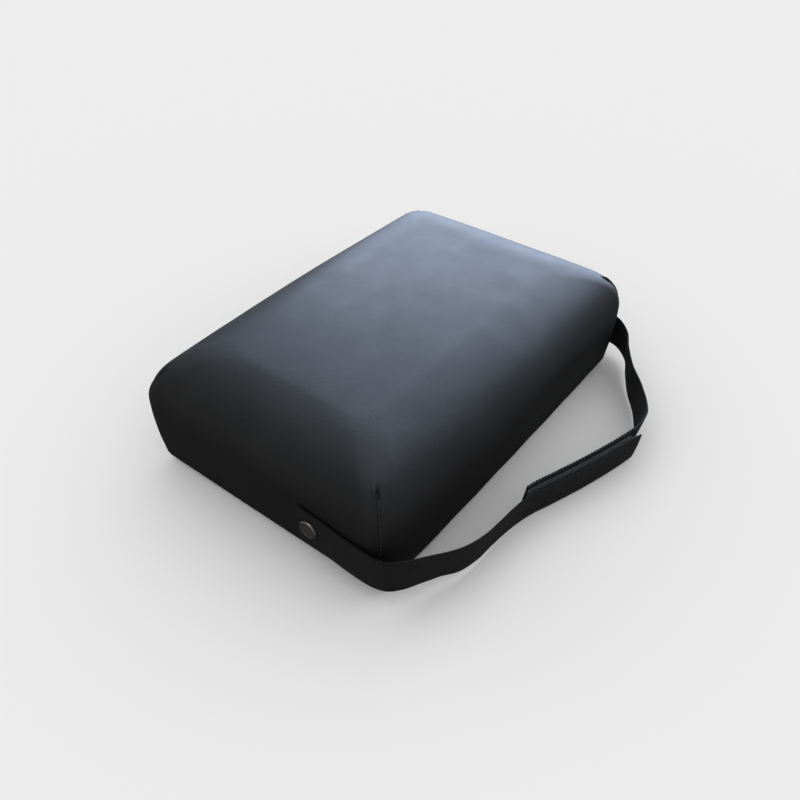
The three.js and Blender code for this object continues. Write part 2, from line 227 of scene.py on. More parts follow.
def grid_faces(rows, columns):
    """Quads between rows of points that run round a ring."""
    faces = []
    for row in range(rows - 1):
        for column in range(columns):
            after = (column + 1) % columns
            low = row * columns
            high = low + columns
            faces.append((low + column, low + after, high + after, high + column))
    return faces


def apply_modifiers(made):
    """Bakes the modifiers into the object's mesh."""
    bpy.context.view_layer.update()
    graph = bpy.context.evaluated_depsgraph_get()
    solid = bpy.data.meshes.new_from_object(made.evaluated_get(graph))
    made.modifiers.clear()
    made.data = solid
    return made


# ---------------------------------------------------------------- materials


class Surface:
    """A Principled material with procedural detail in object space."""

    def __init__(self, name, slot, **sockets):
        self.slot = slot
        self.material = bpy.data.materials.new(name)
        self.material.use_nodes = True
        self.nodes = self.material.node_tree.nodes
        self.links = self.material.node_tree.links
        self.shader = self.nodes["Principled BSDF"]
        for socket, value in sockets.items():
            self.shader.inputs[socket.replace("_", " ")].default_value = value
        self.place = self.nodes.new("ShaderNodeTexCoord").outputs["Object"]

    def stretch(self, scale):
        node = self.nodes.new("ShaderNodeMapping")
        node.inputs["Scale"].default_value = scale
        self.links.new(self.place, node.inputs["Vector"])
        return node.outputs["Vector"]

    def uv(self):
        return self.nodes.new("ShaderNodeTexCoord").outputs["UV"]

    def noise(self, size, detail=3.0, source=None, rough=0.5):
        """Noise whose features are about size metres across."""
        node = self.nodes.new("ShaderNodeTexNoise")
        node.inputs["Scale"].default_value = 1 / size
        node.inputs["Detail"].default_value = detail
        node.inputs["Roughness"].default_value = rough
        self.links.new(source or self.place, node.inputs["Vector"])
        return node.outputs["Fac"]

    def cells(self, size):
        """Distance to the nearest of scattered points about size metres apart."""
        node = self.nodes.new("ShaderNodeTexVoronoi")
        node.inputs["Scale"].default_value = 1 / size
        self.links.new(self.place, node.inputs["Vector"])
        return node.outputs["Distance"]

    def wave(self, pitch, direction, source=None, distortion=0.0):
        """Bands with the given pitch in metres."""
        node = self.nodes.new("ShaderNodeTexWave")
        node.wave_type = "BANDS"
        node.bands_direction = direction
        node.wave_profile = "SIN"
        node.inputs["Scale"].default_value = math.pi / (10 * pitch)
        node.inputs["Distortion"].default_value = distortion
        node.inputs["Detail"].default_value = 1.0
        self.links.new(source or self.place, node.inputs["Vector"])
        return node.outputs["Fac"]

    def math(self, operation, first, second):
        node = self.nodes.new("ShaderNodeMath")
        node.operation = operation
        for socket, value in zip(node.inputs, (first, second)):
            if isinstance(value, (int, float)):
                socket.default_value = value
            else:
                self.links.new(value, socket)
        return node.outputs["Value"]

    def remap(self, value, low, high, to_low, to_high):
        node = self.nodes.new("ShaderNodeMapRange")
        node.inputs["From Min"].default_value = low
        node.inputs["From Max"].default_value = high
        node.inputs["To Min"].default_value = to_low
        node.inputs["To Max"].default_value = to_high
        self.links.new(value, node.inputs["Value"])
        return node.outputs["Result"]

    def blend(self, factor, first, second):
        node = self.nodes.new("ShaderNodeMix")
        node.data_type = "RGBA"
        self.links.new(factor, node.inputs["Factor"])
        for socket, value in ((node.inputs[6], first), (node.inputs[7], second)):
            if isinstance(value, tuple):
                socket.default_value = (*value, 1)
            else:
                self.links.new(value, socket)
        return node.outputs[2]

    def colour(self, source):
        self.links.new(source, self.shader.inputs["Base Color"])

    def roughness(self, source):
        self.links.new(source, self.shader.inputs["Roughness"])

    def bump(self, height, depth):
        """Adds a bump of the given depth in metres over any bump already there."""
        node = self.nodes.new("ShaderNodeBump")
        node.inputs["Strength"].default_value = 1.0
        node.inputs["Distance"].default_value = depth
        self.links.new(height, node.inputs["Height"])
        target = self.shader.inputs["Normal"]
        if target.is_linked:
            self.links.new(target.links[0].from_socket, node.inputs["Normal"])
        self.links.new(node.outputs["Normal"], target)

    def dress(self, made):
        """Gives an object this material."""
        made.data.materials.clear()
        made.data.materials.append(self.material)
        return made


def vinyl_surface():
    s = Surface("vinyl", "vinyl", IOR=1.5)
    cloud = s.noise(0.05, 4)
    tone = s.remap(cloud, 0.3, 0.7, 0, 1)
    s.colour(s.blend(tone, (0.0060, 0.0062, 0.0067), (0.0095, 0.0097, 0.0104)))
    smear = s.noise(0.022, 5, rough=0.6)
    s.roughness(s.remap(smear, 0.25, 0.75, 0.49, 0.56))
    pebble = s.cells(0.0011)
    crease = s.noise(0.0006, 2)
    s.bump(s.math("ADD", pebble, crease), 0.00005)
    s.bump(s.noise(0.006, 3), 0.00006)
    return s


def webbing_surface():
    s = Surface("webbing", "webbing", Sheen_Weight=0.04, Sheen_Roughness=0.4, IOR=1.35)
    flat = s.uv()
    warp = s.wave(0.0012, "Y", flat, 0.6)
    weft = s.wave(0.0011, "X", flat, 0.6)
    weave = s.math("MULTIPLY", warp, weft)
    tone = s.remap(weave, 0.0, 0.8, 0, 1)
    wear = s.noise(0.012, 4)
    worn = s.remap(wear, 0.35, 0.7, 0, 1)
    dark = s.blend(worn, (0.0026, 0.0026, 0.0028), (0.0046, 0.0046, 0.0048))
    s.colour(s.blend(tone, dark, (0.0080, 0.0080, 0.0085)))
    s.roughness(s.remap(s.noise(0.004, 3), 0.3, 0.7, 0.72, 0.9))
    s.bump(weave, 0.00028)
    s.bump(s.noise(0.0004, 2), 0.00008)
    return s


def tape_surface(name, slot, pitch, depth, dark, light):
    s = Surface(name, slot, Roughness=0.95, Sheen_Weight=0.3)
    tufts = s.cells(pitch)
    fuzz = s.noise(pitch * 0.5, 4)
    s.colour(s.blend(s.remap(fuzz, 0.3, 0.7, 0, 1), dark, light))
    s.roughness(s.remap(fuzz, 0.3, 0.7, 0.85, 1.0))
    s.bump(s.math("SUBTRACT", fuzz, tufts), depth)
    return s


def thread_surface():
    s = Surface("thread", "thread", IOR=1.5, Sheen_Weight=0.2)
    twist = s.wave(0.0007, "DIAGONAL")
    s.colour(s.blend(twist, (0.008, 0.008, 0.009), (0.024, 0.025, 0.028)))
    s.roughness(s.remap(s.noise(0.003), 0.3, 0.7, 0.5, 0.7))
    s.bump(twist, 0.00015)
    return s


def cap_surface():
    s = Surface("rivet_cap", "rivet_cap", Metallic=1.0)
    cloud = s.noise(0.004, 5, rough=0.65)
    s.colour(s.blend(s.remap(cloud, 0.3, 0.7, 0, 1), (0.36, 0.32, 0.28), (0.56, 0.51, 0.46)))
    scratch = s.noise(0.0009, 4, s.stretch((1, 1, 9)))
    s.roughness(s.remap(scratch, 0.3, 0.7, 0.26, 0.42))
    s.bump(scratch, 0.00003)
    return s


def steel_surface():
    s = Surface("steel", "steel", Metallic=1.0)
    cloud = s.noise(0.003, 4)
    s.colour(s.blend(s.remap(cloud, 0.35, 0.7, 0, 1), (0.42, 0.43, 0.44), (0.6, 0.6, 0.59)))
    s.roughness(s.remap(s.noise(0.0012, 3), 0.3, 0.7, 0.3, 0.5))
    s.bump(s.noise(0.0005, 2), 0.00003)
    return s


def panel_surface():
    s = Surface("panel", "panel", IOR=1.5)
    grain = s.noise(0.02, 6, s.stretch((0.12, 1, 2.2)), 0.62)
    pores = s.noise(0.0016, 3, s.stretch((0.06, 1, 1)))
    s.colour(s.blend(s.remap(grain, 0.32, 0.68, 0, 1), (0.030, 0.018, 0.012), (0.085, 0.052, 0.034)))
    s.roughness(s.remap(pores, 0.3, 0.7, 0.55, 0.8))
    s.bump(s.math("ADD", grain, s.math("MULTIPLY", pores, 0.5)), 0.00035)
    return s


def plywood_surface():
    s = Surface("plywood", "plywood", IOR=1.5)
    layers = s.wave(0.004, "Z", None, 0.4)
    grain = s.noise(0.016, 6, s.stretch((0.1, 1, 2)), 0.6)
    face = s.blend(s.remap(grain, 0.3, 0.7, 0, 1), (0.38, 0.22, 0.10), (0.62, 0.42, 0.23))
    s.colour(s.blend(s.remap(layers, 0.45, 0.55, 0, 0.6), face, (0.25, 0.13, 0.06)))
    s.roughness(s.remap(grain, 0.3, 0.7, 0.65, 0.85))
    s.bump(grain, 0.0003)
    return s


def foam_surface():
    s = Surface("foam", "foam", Roughness=0.95)
    open_cells = s.cells(0.0016)
    tone = s.noise(0.03, 4)
    s.colour(s.blend(s.remap(tone, 0.3, 0.7, 0, 1), (0.62, 0.52, 0.27), (0.76, 0.67, 0.41)))
    s.roughness(s.remap(open_cells, 0.1, 0.6, 1.0, 0.85))
    s.bump(open_cells, 0.0008)
    return s


vinyl = vinyl_surface()
webbing = webbing_surface()
hook = tape_surface("hook", "hook", 0.0014, 0.0006, (0.004, 0.004, 0.005), (0.014, 0.014, 0.016))
loop = tape_surface("loop", "loop", 0.0009, 0.0005, (0.006, 0.006, 0.006), (0.018, 0.018, 0.019))
thread = thread_surface()
cap = cap_surface()
steel = steel_surface()
panel = panel_surface()
plywood = plywood_surface()
foam = foam_surface()

# ---------------------------------------------------------------- cushion


def graded(steps):
    """Shares from 0 to 1, closer together near both ends."""
    t = np.linspace(0, 1, steps + 1)
    return 0.3 * t + 0.7 * (1 - np.cos(math.pi * t)) / 2


def seamward(steps):
    """Shares from 0 to 1, closer together near the middle."""
    t = np.linspace(-1, 1, steps + 1)
    return 0.5 + 0.5 * np.sign(t) * (0.45 * np.abs(t) + 0.55 * np.abs(t) ** 2)


def outline(half_length, half_width, radius, density=1.0):
    """Points round a rounded rectangle, with each one's way to its corner's seam."""
    corner_steps = max(6, int(CORNER_STEPS * density))
    sides = [max(8, int(LONG_STEPS * density)), max(6, int(SHORT_STEPS * density))] * 2
    points, ways, quarters = [], [], []
    signs = [(1, 1), (-1, 1), (-1, -1), (1, -1)]
    for quarter, (sx, sy) in enumerate(signs):
        centre = np.array([sx * (half_length - radius), sy * (half_width - radius)])
        shares = seamward(corner_steps)
        angles = (quarter + shares) * math.pi / 2
        arc = centre + radius * np.column_stack([np.cos(angles), np.sin(angles)])
        points.append(arc)
        ways.append(radius * math.pi / 2 * (shares - 0.5))
        quarters.append(np.full(len(arc), quarter))
        next_sx, next_sy = signs[(quarter + 1) % 4]
        turn = (quarter + 1) * math.pi / 2
        start = arc[-1]
        stop = np.array([
            next_sx * (half_length - radius) + radius * math.cos(turn),
            next_sy * (half_width - radius) + radius * math.sin(turn),
        ])
        share = graded(sides[quarter])[1:-1]
        points.append(start + (stop - start) * share[:, None])
        length = np.linalg.norm(stop - start)
        past = radius * math.pi / 4 + length * share
        before = radius * math.pi / 4 + length * (1 - share)
        first_half = share < 0.5
        ways.append(np.where(first_half, past, -before))
        quarters.append(np.where(first_half, quarter, (quarter + 1) % 4))
    return np.vstack(points), np.concatenate(ways), np.concatenate(quarters)


def bulged(points, share):
    out = points.copy()
    x, y = points[:, 0], points[:, 1]
    ends = np.abs(x) > HALF_LENGTH * 0.6
    sides = np.abs(y) > HALF_WIDTH * 0.5
    out[:, 0] += ends * np.sign(x) * END_BULGE * share * np.clip(1 - (y / HALF_WIDTH) ** 2, 0, 1)
    out[:, 1] += sides * np.sign(y) * SIDE_BULGE * share * np.clip(1 - (x / HALF_LENGTH) ** 2, 0, 1)
    return out


def top_height(x, y, inward):
    remaining = max(0.0, 1 - inward / ROUND_IN)
    rise = (1 - remaining**ROUND_POWER) ** (1 / ROUND_POWER)
    crown = np.clip(1 - (x / HALF_LENGTH) ** 2, 0, 1) * np.clip(1 - (y / HALF_WIDTH) ** 2, 0, 1)
    return SHOULDER_Z + (RIM_Z - SHOULDER_Z) * rise + CROWN * crown * min(1.0, inward / ROUND_IN)


def wall_ring(z, inset, density=1.0):
    rise = z / SHOULDER_Z
    lean = (1 - rise) ** LEAN_CURVE
    radius = BASE_CORNER_RADIUS + (CORNER_RADIUS - BASE_CORNER_RADIUS) * rise - inset / 2
    flat, way, quarter = outline(
        HALF_LENGTH - LEAN_LENGTH * lean - inset,
        HALF_WIDTH - LEAN_WIDTH * lean - inset,
        max(0.5, radius),
        density,
    )
    flat = bulged(flat, math.sin(rise * math.pi / 2))
    return np.column_stack([flat, np.full(len(flat), z)]), way, quarter


def round_ring(inward, inset, density=1.0):
    radius = CORNER_RADIUS + CORNER_GROWTH * inward - inset / 2
    flat, way, quarter = outline(
        HALF_LENGTH - inward - inset, HALF_WIDTH - inward - inset, radius, density
    )
    flat = bulged(flat, 1 - inward / ROUND_IN)
    height = top_height(flat[:, 0], flat[:, 1], inward) - inset
    return np.column_stack([flat, height]), way, quarter


def cushion_rings(inset, bottom_z, density=1.0):
    """Rings from the base up to the top, with each point's seam position.

    Along the seam, a point's place is its height below the shoulder, minus the
    shoulder's height, or how far inward it is above it.
    """
    rings, ways, alongs, quarters = [], [], [], []

    def keep(ring, along):
        points, way, quarter = ring
        rings.append(points)
        ways.append(way)
        alongs.append(np.full(len(points), along))
        quarters.append(quarter)

    wall_count = max(5, int(WALL_RINGS * density))
    for z in np.linspace(bottom_z, SHOULDER_Z, wall_count):
        keep(wall_ring(z, inset, density), z - SHOULDER_Z)
    round_count = max(8, int(ROUND_RINGS * density))
    for i in range(1, round_count + 1):
        inward = ROUND_IN * (1 - math.cos(i * math.pi / 2 / round_count))
        keep(round_ring(inward, inset, density), inward)
    top_count = max(3, int(TOP_RINGS * density))
    edge, way, quarter = round_ring(ROUND_IN, inset, density)
    for i in range(1, top_count):
        share = 1 - i / top_count
        flat = edge[:, :2] * share
        height = top_height(flat[:, 0], flat[:, 1], ROUND_IN) - inset
        keep((np.column_stack([flat, height]), way * share, quarter), ROUND_IN / max(share, 0.02))
    return np.array(rings), np.array(ways), np.array(alongs), np.array(quarters)


def eased(share):
    """A share held between 0 and 1, with soft ends."""
    share = np.clip(share, 0, 1)
    return share * share * (3 - 2 * share)


def bell(value, centre, width):
    return np.exp(-(((value - centre) / width) ** 2))


def seam_relief(way, along, quarter):
    """How far the cover stands out at each point beside its corner's seam."""
    # way grows anticlockwise, so the long side lies at + or - in turn
    long_side = np.where(quarter % 2 == 0, way, -way)
    fade = eased((SEAM_END_IN + 1 - along) / 4)
    seams = (RIDGE, GROOVE, SHALLOW)
    relief = fade * sum(height * bell(long_side, place, width) for height, place, width in seams)
    for height, place, width, past, length in (DIMPLE, LIP, SWELL):
        relief = relief + height * bell(along, SEAM_END_IN + past, length) * bell(long_side, place, width)
    return relief


def unevenness(points):
    """Slow rise and fall of a hand-stretched cover over foam."""
    out = np.zeros(len(points))
    for height, lengths, shifts in UNEVEN_LAYERS:
        for i, point in enumerate(points):
            place = [p / length + shift for p, length, shift in zip(point, lengths, shifts)]
            out[i] += height * noise.noise(Vector(place))
    return out


def ring_normals(rings):
    """Outward normals of a stack of closed rings."""
    around = np.roll(rings, -1, axis=1) - np.roll(rings, 1, axis=1)
    up = np.empty_like(rings)
    up[1:-1] = rings[2:] - rings[:-2]
    up[0] = rings[1] - rings[0]
    up[-1] = rings[-1] - rings[-2]
    normal = np.cross(around, up)
    return normal / np.linalg.norm(normal, axis=2, keepdims=True)


def cover_surface():
    """The cover's outer face as rings from the base edge to the top, and its seam positions."""
    rings, way, along, quarter = cushion_rings(0.0, HEM_Z + EDGE_ROLL)
    normal = ring_normals(rings)
    relief = seam_relief(way, along, quarter)
    slow = unevenness(rings.reshape(-1, 3)).reshape(relief.shape)
    settle = np.clip((rings[:, :, 2] - HEM_Z) / SETTLE_HEIGHT, 0, 1)
    pull = STAPLE_PULL * np.cos(rings[:, :, 0] * 2 * math.pi / STAPLE_PITCH) * (1 - settle)
    outer = rings + normal * (relief + slow * settle + pull)[:, :, None]
    return outer, normal, way, along, quarter


def hem_rings(base):
    """Rings from the hem's inner edge, below the board, out to the rolled base edge."""
    hem = []
    for reach in (HEM_WIDTH, HEM_WIDTH / 2, EDGE_ROLL * 1.6):
        flat, _, _ = outline(
            HALF_LENGTH - LEAN_LENGTH - reach,
            HALF_WIDTH - LEAN_WIDTH - reach,
            max(1.0, BASE_CORNER_RADIUS - reach / 8),
        )
        hem.append(np.column_stack([flat, np.full(len(flat), HEM_Z)]))
    inner = hem[-1]
    for share in (0.25, 0.55, 0.8):
        angle = share * math.pi / 2
        ring = inner + (base - inner) * math.sin(angle)
        ring[:, 2] = HEM_Z + (base[:, 2] - HEM_Z) * (1 - math.cos(angle))
        hem.append(ring)
    return hem


cover_shape = cover_surface()


def cover_piece():
    """The cover as one closed shell from the hem's inner edge to the top."""
    outer = cover_shape[0]
    count = outer.shape[1]
    stack = [*hem_rings(outer[0]), *outer]
    faces = grid_faces(len(stack), count)
    crown = len(stack) * count
    points = np.vstack([*stack, [[0, 0, RIM_Z + CROWN]]])
    last = (len(stack) - 1) * count
    faces += [(last + i, last + (i + 1) % count, crown) for i in range(count)]
    made = make_object("cushion_cover", points, faces, vinyl.material)
    thick = made.modifiers.new("thickness", "SOLIDIFY")
    thick.thickness = VINYL_THICKNESS * MM
    thick.offset = -1
    return apply_modifiers(made)


cover = vinyl.dress(cover_piece())
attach(cover, "pad")
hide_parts("vinyl_cover")


def foam_piece():
    """The foam under the cover, crowned and dented round the rivets."""
    rings, _, _, _ = cushion_rings(FOAM_INSET, FOAM_Z, 0.3)
    normal = ring_normals(rings)
    away = np.hypot(rings[:, :, 1] - PIVOT_Y, rings[:, :, 2] - PIVOT_Z)
    ends = np.abs(rings[:, :, 0]) > HALF_LENGTH * 0.9
    dent = DENT_DEPTH * ends * np.clip((DENT_RADIUS - away) / DENT_FADE, 0, 1)
    rings = rings - normal * dent[:, :, None]
    count = rings.shape[1]
    points = rings.reshape(-1, 3)
    faces = grid_faces(len(rings), count)
    top, bottom = len(points), len(points) + 1
    points = np.vstack([points, [[0, 0, RIM_Z + CROWN - FOAM_INSET]], [[0, 0, FOAM_Z]]])
    last = (len(rings) - 1) * count
    faces += [(last + i, last + (i + 1) % count, top) for i in range(count)]
    faces += [((i + 1) % count, i, bottom) for i in range(count)]
    return make_object("cushion_foam", points, faces, foam.material, 50)


foam_block = foam.dress(foam_piece())
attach(foam_block, "pad")
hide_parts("foam_block")

# ---------------------------------------------------------------- stitches


def unit(vector):
    return vector / np.linalg.norm(vector)


def stitch_mesh(stitches, radius, sides=8):
    """Small rounded thread stitches, each from one point to another with a hump."""
    points, faces = [], []
    rising = [(0.0, 0.25), (0.08, 0.75), (0.25, 1.0)]
    falling = [(0.75, 1.0), (0.92, 0.75), (1.0, 0.25)]
    profile = [*rising, (0.5, 1.06), *falling]
    for start, stop, up in stitches:
        start, stop, up = map(np.asarray, (start, stop, up))
        along = unit(stop - start)
        side = unit(np.cross(along, up))
        lift = np.cross(side, along)
        first = len(points)
        for share, fat in profile:
            hump = radius * 0.9 * math.sin(math.pi * share)
            middle = start + (stop - start) * share + lift * hump
            for k in range(sides):
                angle = 2 * math.pi * k / sides
                points.append(
                    middle + radius * fat * (math.cos(angle) * side + math.sin(angle) * lift)
                )
        rows = len(profile)
        for row in range(rows - 1):
            for k in range(sides):
                a = first + row * sides + k
                b = first + row * sides + (k + 1) % sides
                faces.append((a, b, b + sides, a + sides))
        faces.append(tuple(first + k for k in reversed(range(sides))))
        faces.append(tuple(first + (rows - 1) * sides + k for k in range(sides)))
    return np.array(points), faces


def seam_path(corner, offset):
    """Points and outward normals up a corner's seam, offset along the surface."""
    outer, normal, way, along, quarter = cover_shape
    points, normals = [], []
    for ring in range(len(outer)):
        if along[ring, 0] > SEAM_END_IN - 1:
            break
        near = np.where((quarter[ring] == corner) & (np.abs(way[ring]) < SEAM_REACH))[0]
        near = near[np.argsort(way[ring, near])]
        spots = way[ring, near]
        points.append([np.interp(offset, spots, outer[ring, near, k]) for k in range(3)])
        normals.append([np.interp(offset, spots, normal[ring, near, k]) for k in range(3)])
    return np.array(points), np.array(normals)


def along_path(points, normals, pitch):
    """Evenly spaced places along a path, with the way forward and the normal there."""
    steps = np.linalg.norm(np.diff(points, axis=0), axis=1)
    reach = np.concatenate([[0], np.cumsum(steps)])
    spots = np.arange(pitch / 2, reach[-1] - pitch / 2, pitch)

    def at(values, where):
        return np.column_stack([np.interp(where, reach, values[:, k]) for k in range(3)])

    ahead = at(points, spots + 0.3) - at(points, spots - 0.3)
    return at(points, spots), ahead, at(normals, spots)


def corner_stitches(name, corner, node):
    """The row of stitches on the long side of a corner's seam."""
    side = 1 if corner % 2 == 0 else -1
    points, normals = seam_path(corner, side * 1.0)
    stitches = []
    for place, ahead, up in zip(*along_path(points, normals, STITCH_PITCH)):
        half = unit(ahead) * STITCH_LENGTH / 2
        seat = place + unit(up) * 0.02
        stitches.append((seat - half, seat + half, unit(up)))
    shape = stitch_mesh(stitches, STITCH_RADIUS)
    made = thread.dress(make_object(name, *shape, thread.material))
    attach(made, "pad")
    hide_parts(node)
    return made


# the CAD threads run -X-Y, -X+Y, +X-Y, +X+Y
for node_number, corner in enumerate((2, 1, 3, 0), start=1):
    corner_stitches(f"corner_stitches_{node_number}", corner, f"corner_thread_{node_number}")

# ---------------------------------------------------------------- strap


def spline(path):
    """A centripetal Catmull-Rom curve through the path, as a function of knot position."""
    knots = np.array([p[:3] for p in path], float)
    leans = np.array([p[3] for p in path], float)
    padded = np.vstack([2 * knots[0] - knots[1], knots, 2 * knots[-1] - knots[-2]])

    def point(position):
        knot = min(int(position), len(knots) - 2)
        weight = position - knot
        p0, p1, p2, p3 = padded[knot : knot + 4]
        d0, d1, d2 = (
            math.sqrt(np.linalg.norm(b - a)) for a, b in ((p0, p1), (p1, p2), (p2, p3))
        )
        t1 = ((p1 - p0) / d0 - (p2 - p0) / (d0 + d1) + (p2 - p1) / d1) * d1
        t2 = ((p2 - p1) / d1 - (p3 - p1) / (d1 + d2) + (p3 - p2) / d2) * d1
        c2 = -3 * p1 + 3 * p2 - 2 * t1 - t2
        c3 = 2 * p1 - 2 * p2 + t1 + t2
        return p1 + weight * (t1 + weight * (c2 + weight * c3))

    return point, leans


def stations(path, step):
    """Evenly spaced points along the path, with the lean at each."""
    point, leans = spline(path)
    fine = np.linspace(0, len(path) - 1, 60 * (len(path) - 1) + 1)
    places = np.array([point(p) for p in fine])
    reach = np.concatenate([[0], np.cumsum(np.linalg.norm(np.diff(places, axis=0), axis=1))])
    count = max(2, round(reach[-1] / step))
    spots = np.linspace(0, reach[-1], count + 1)
    even = np.column_stack([np.interp(spots, reach, places[:, k]) for k in range(3)])
    lean = np.interp(np.interp(spots, reach, fine), np.arange(len(path)), leans)
    return even, np.radians(lean)


def frames(places, lean):
    """Inward and upward directions of the strap at each station."""
    ahead = np.gradient(places, axis=0)
    ahead[:, 2] = 0
    ahead /= np.linalg.norm(ahead, axis=1, keepdims=True)
    flat_in = np.column_stack([-ahead[:, 1], ahead[:, 0], np.zeros(len(ahead))])
    rise = np.array([[0.0, 0.0, 1.0]])
    cosine, sine = np.cos(lean)[:, None], np.sin(lean)[:, None]
    return flat_in * cosine + rise * sine, rise * cosine - flat_in * sine


class Ribbon:
    """A flat band's mid-line with its directions and running length."""

    def __init__(self, places, lean):
        self.places = places
        self.lean = lean
        self.inward, self.up = frames(places, lean)
        steps = np.linalg.norm(np.diff(places, axis=0), axis=1)
        self.reach = np.concatenate([[0], np.cumsum(steps)])

    def part(self, chosen, offset=0.0, rise=0.0):
        shift = self.inward[chosen] * offset + self.up[chosen] * rise
        return Ribbon(self.places[chosen] + shift, self.lean[chosen])

    def at(self, distance, across, out):
        """A point on the band: distance along it, across its width, out from its mid-plane."""
        def value(table):
            return np.array([np.interp(distance, self.reach, table[:, k]) for k in range(3)])

        return value(self.places) + value(self.up) * across - value(self.inward) * out


def band_profile(width, thickness, edge, across_steps):
    """Points round a band's section: across, out, and the share of relief they take."""
    half_width, half = width / 2, thickness / 2
    section = []
    spread = np.linspace(-1, 1, across_steps)
    flat_reach = half_width - edge
    for share in spread:
        section.append((share * flat_reach, half, 1.0))
    for angle in (60, 30, 0, -30, -60):
        turn = math.radians(angle)
        section.append((flat_reach + edge * math.cos(turn), half * math.sin(turn), 0.4))
    for share in spread[::-1]:
        section.append((share * flat_reach, -half, -1.0))
    for angle in (-60, -30, 0, 30, 60):
        turn = math.radians(angle)
        section.append((-flat_reach - edge * math.cos(turn), half * math.sin(turn), 0.4))
    return section


def cut_corner(ribbon, across):
    """Take down a band's upper corner at its far end, and draw it back along the band."""
    ending = eased(1 - (ribbon.reach[-1] - ribbon.reach) / CORNER_RUN)
    high = np.clip(across / (STRAP_WIDTH / 2), 0, 1)[None, :] * ending[:, None]
    run = np.gradient(ribbon.places, axis=0)
    run = run / np.linalg.norm(run, axis=1)[:, None]
    return -CORNER_DROP * high, -CORNER_BACK * high[:, :, None] * run[:, None, :]


def band_object(name, ribbon, width, thickness, surface, relief, across_steps=19, cut=False):
    """A band of cloth along a ribbon, with its cloth's relief and a UV map in metres."""
    section = band_profile(width, thickness, BAND_EDGE, across_steps)
    across = np.array([p[0] for p in section])
    out = np.array([p[1] for p in section])
    raised = np.array([p[2] for p in section])
    rows = len(ribbon.places)
    count = len(section)
    lift = relief(ribbon.reach[:, None], across[None, :])
    out_all = out[None, :] + raised[None, :] * lift
    edge_wave = np.where(np.abs(raised) < 0.9, lift, 0)
    across_all = across[None, :] + np.sign(across)[None, :] * edge_wave
    back = 0
    if cut:
        drop, back = cut_corner(ribbon, across)
        across_all = across_all + drop
    points = (
        ribbon.places[:, None, :]
        + ribbon.up[:, None, :] * across_all[:, :, None]
        - ribbon.inward[:, None, :] * out_all[:, :, None]
        + back
    ).reshape(-1, 3)
    faces = [f[::-1] for f in grid_faces(rows, count)]
    faces.append(tuple(range(count)))
    faces.append(tuple((rows - 1) * count + k for k in reversed(range(count))))
    made = make_object(name, points, faces, surface.material, 55)
    wrap = np.concatenate([[0], np.cumsum(np.hypot(np.diff(across), np.diff(out)))])
    layer = made.data.uv_layers.new(name="UVMap")
    index = np.empty(len(made.data.loops), int)
    made.data.loops.foreach_get("vertex_index", index)
    row, column = np.divmod(index, count)
    flat = np.column_stack([ribbon.reach[row], wrap[column]]) * MM
    layer.data.foreach_set("uv", flat.ravel())
    return surface.dress(made)


def rib_relief(pitch, depth, edge_pitch, edge_depth, half_width):
    """Woven ribs across a band, and small loops of yarn along its two edges."""

    def relief(reach, across):
        ribs = depth * (np.abs(np.sin(math.pi * reach / pitch)) - 0.6)
        rim = np.clip((np.abs(across) - half_width + 1.6) / 1.6, 0, 1)
        loops = edge_depth * np.cos(2 * math.pi * reach / edge_pitch)
        return ribs * (1 - rim) + loops * rim

    return relief


near_ribbon = Ribbon(*stations(NEAR_PATH, WEB_STEP))
in_lap = (
    (near_ribbon.places[:, 1] < -150)
    & (near_ribbon.places[:, 0] > LAP_START_X)
    & (near_ribbon.places[:, 0] < LAP_END_X)
)
lap = np.where(in_lap)[0]
hook_offset = STRAP_THICKNESS / 2 + LAYER_GAP + HOOK_THICKNESS / 2
loop_offset = hook_offset + HOOK_THICKNESS / 2 + LAYER_GAP + LOOP_THICKNESS / 2
far_offset = loop_offset + LOOP_THICKNESS / 2 + LAYER_GAP + STRAP_THICKNESS / 2

far_lap = near_ribbon.part(lap, far_offset, LAP_RISE)
trim = int(TAPE_SHORTFALL / WEB_STEP)
joined = [
    (*far_lap.places[i], math.degrees(far_lap.lean[i])) for i in (-1 - trim, -1)
]
own_places, own_lean = stations([*joined, *FAR_PATH], WEB_STEP)
far_ribbon = Ribbon(
    np.vstack([far_lap.places[: -1 - trim], own_places]),
    np.concatenate([far_lap.lean[: -1 - trim], own_lean]),
)

WEB_BODY = STRAP_THICKNESS - 0.25
WEB_WIDTH = STRAP_WIDTH - 0.3
weave = rib_relief(RIB_PITCH, RIB_DEPTH, RIB_PITCH, EDGE_LOOP_DEPTH, STRAP_WIDTH / 2)


def strap_piece(name, ribbon, body, node, cut=False):
    made = band_object(name, ribbon, WEB_WIDTH, WEB_BODY, webbing, weave, cut=cut)
    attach(made, body)
    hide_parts(node)


strap_piece("near_webbing", near_ribbon, "strap_near", "strap_near_half", True)
strap_piece("far_webbing", far_ribbon, "strap_far", "strap_far_half")


def tape_piece(name, chosen, offset, thickness, surface, body, node, pitch, cut=False):
    tufts = rib_relief(pitch, 0.16, pitch * 1.3, 0.22, TAPE_WIDTH / 2)
    ribbon = near_ribbon.part(chosen, offset)
    made = band_object(name, ribbon, TAPE_WIDTH - 0.5, thickness - 0.35, surface, tufts, 13, cut)
    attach(made, body)
    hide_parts(node)


tape_piece(
    "hook_strip", lap[trim:], hook_offset, HOOK_THICKNESS, hook, "strap_near", "hook_tape", 1.7, True
)
tape_piece("loop_strip", lap[:-trim], loop_offset, LOOP_THICKNESS, loop, "strap_far", "loop_tape", 2.3)


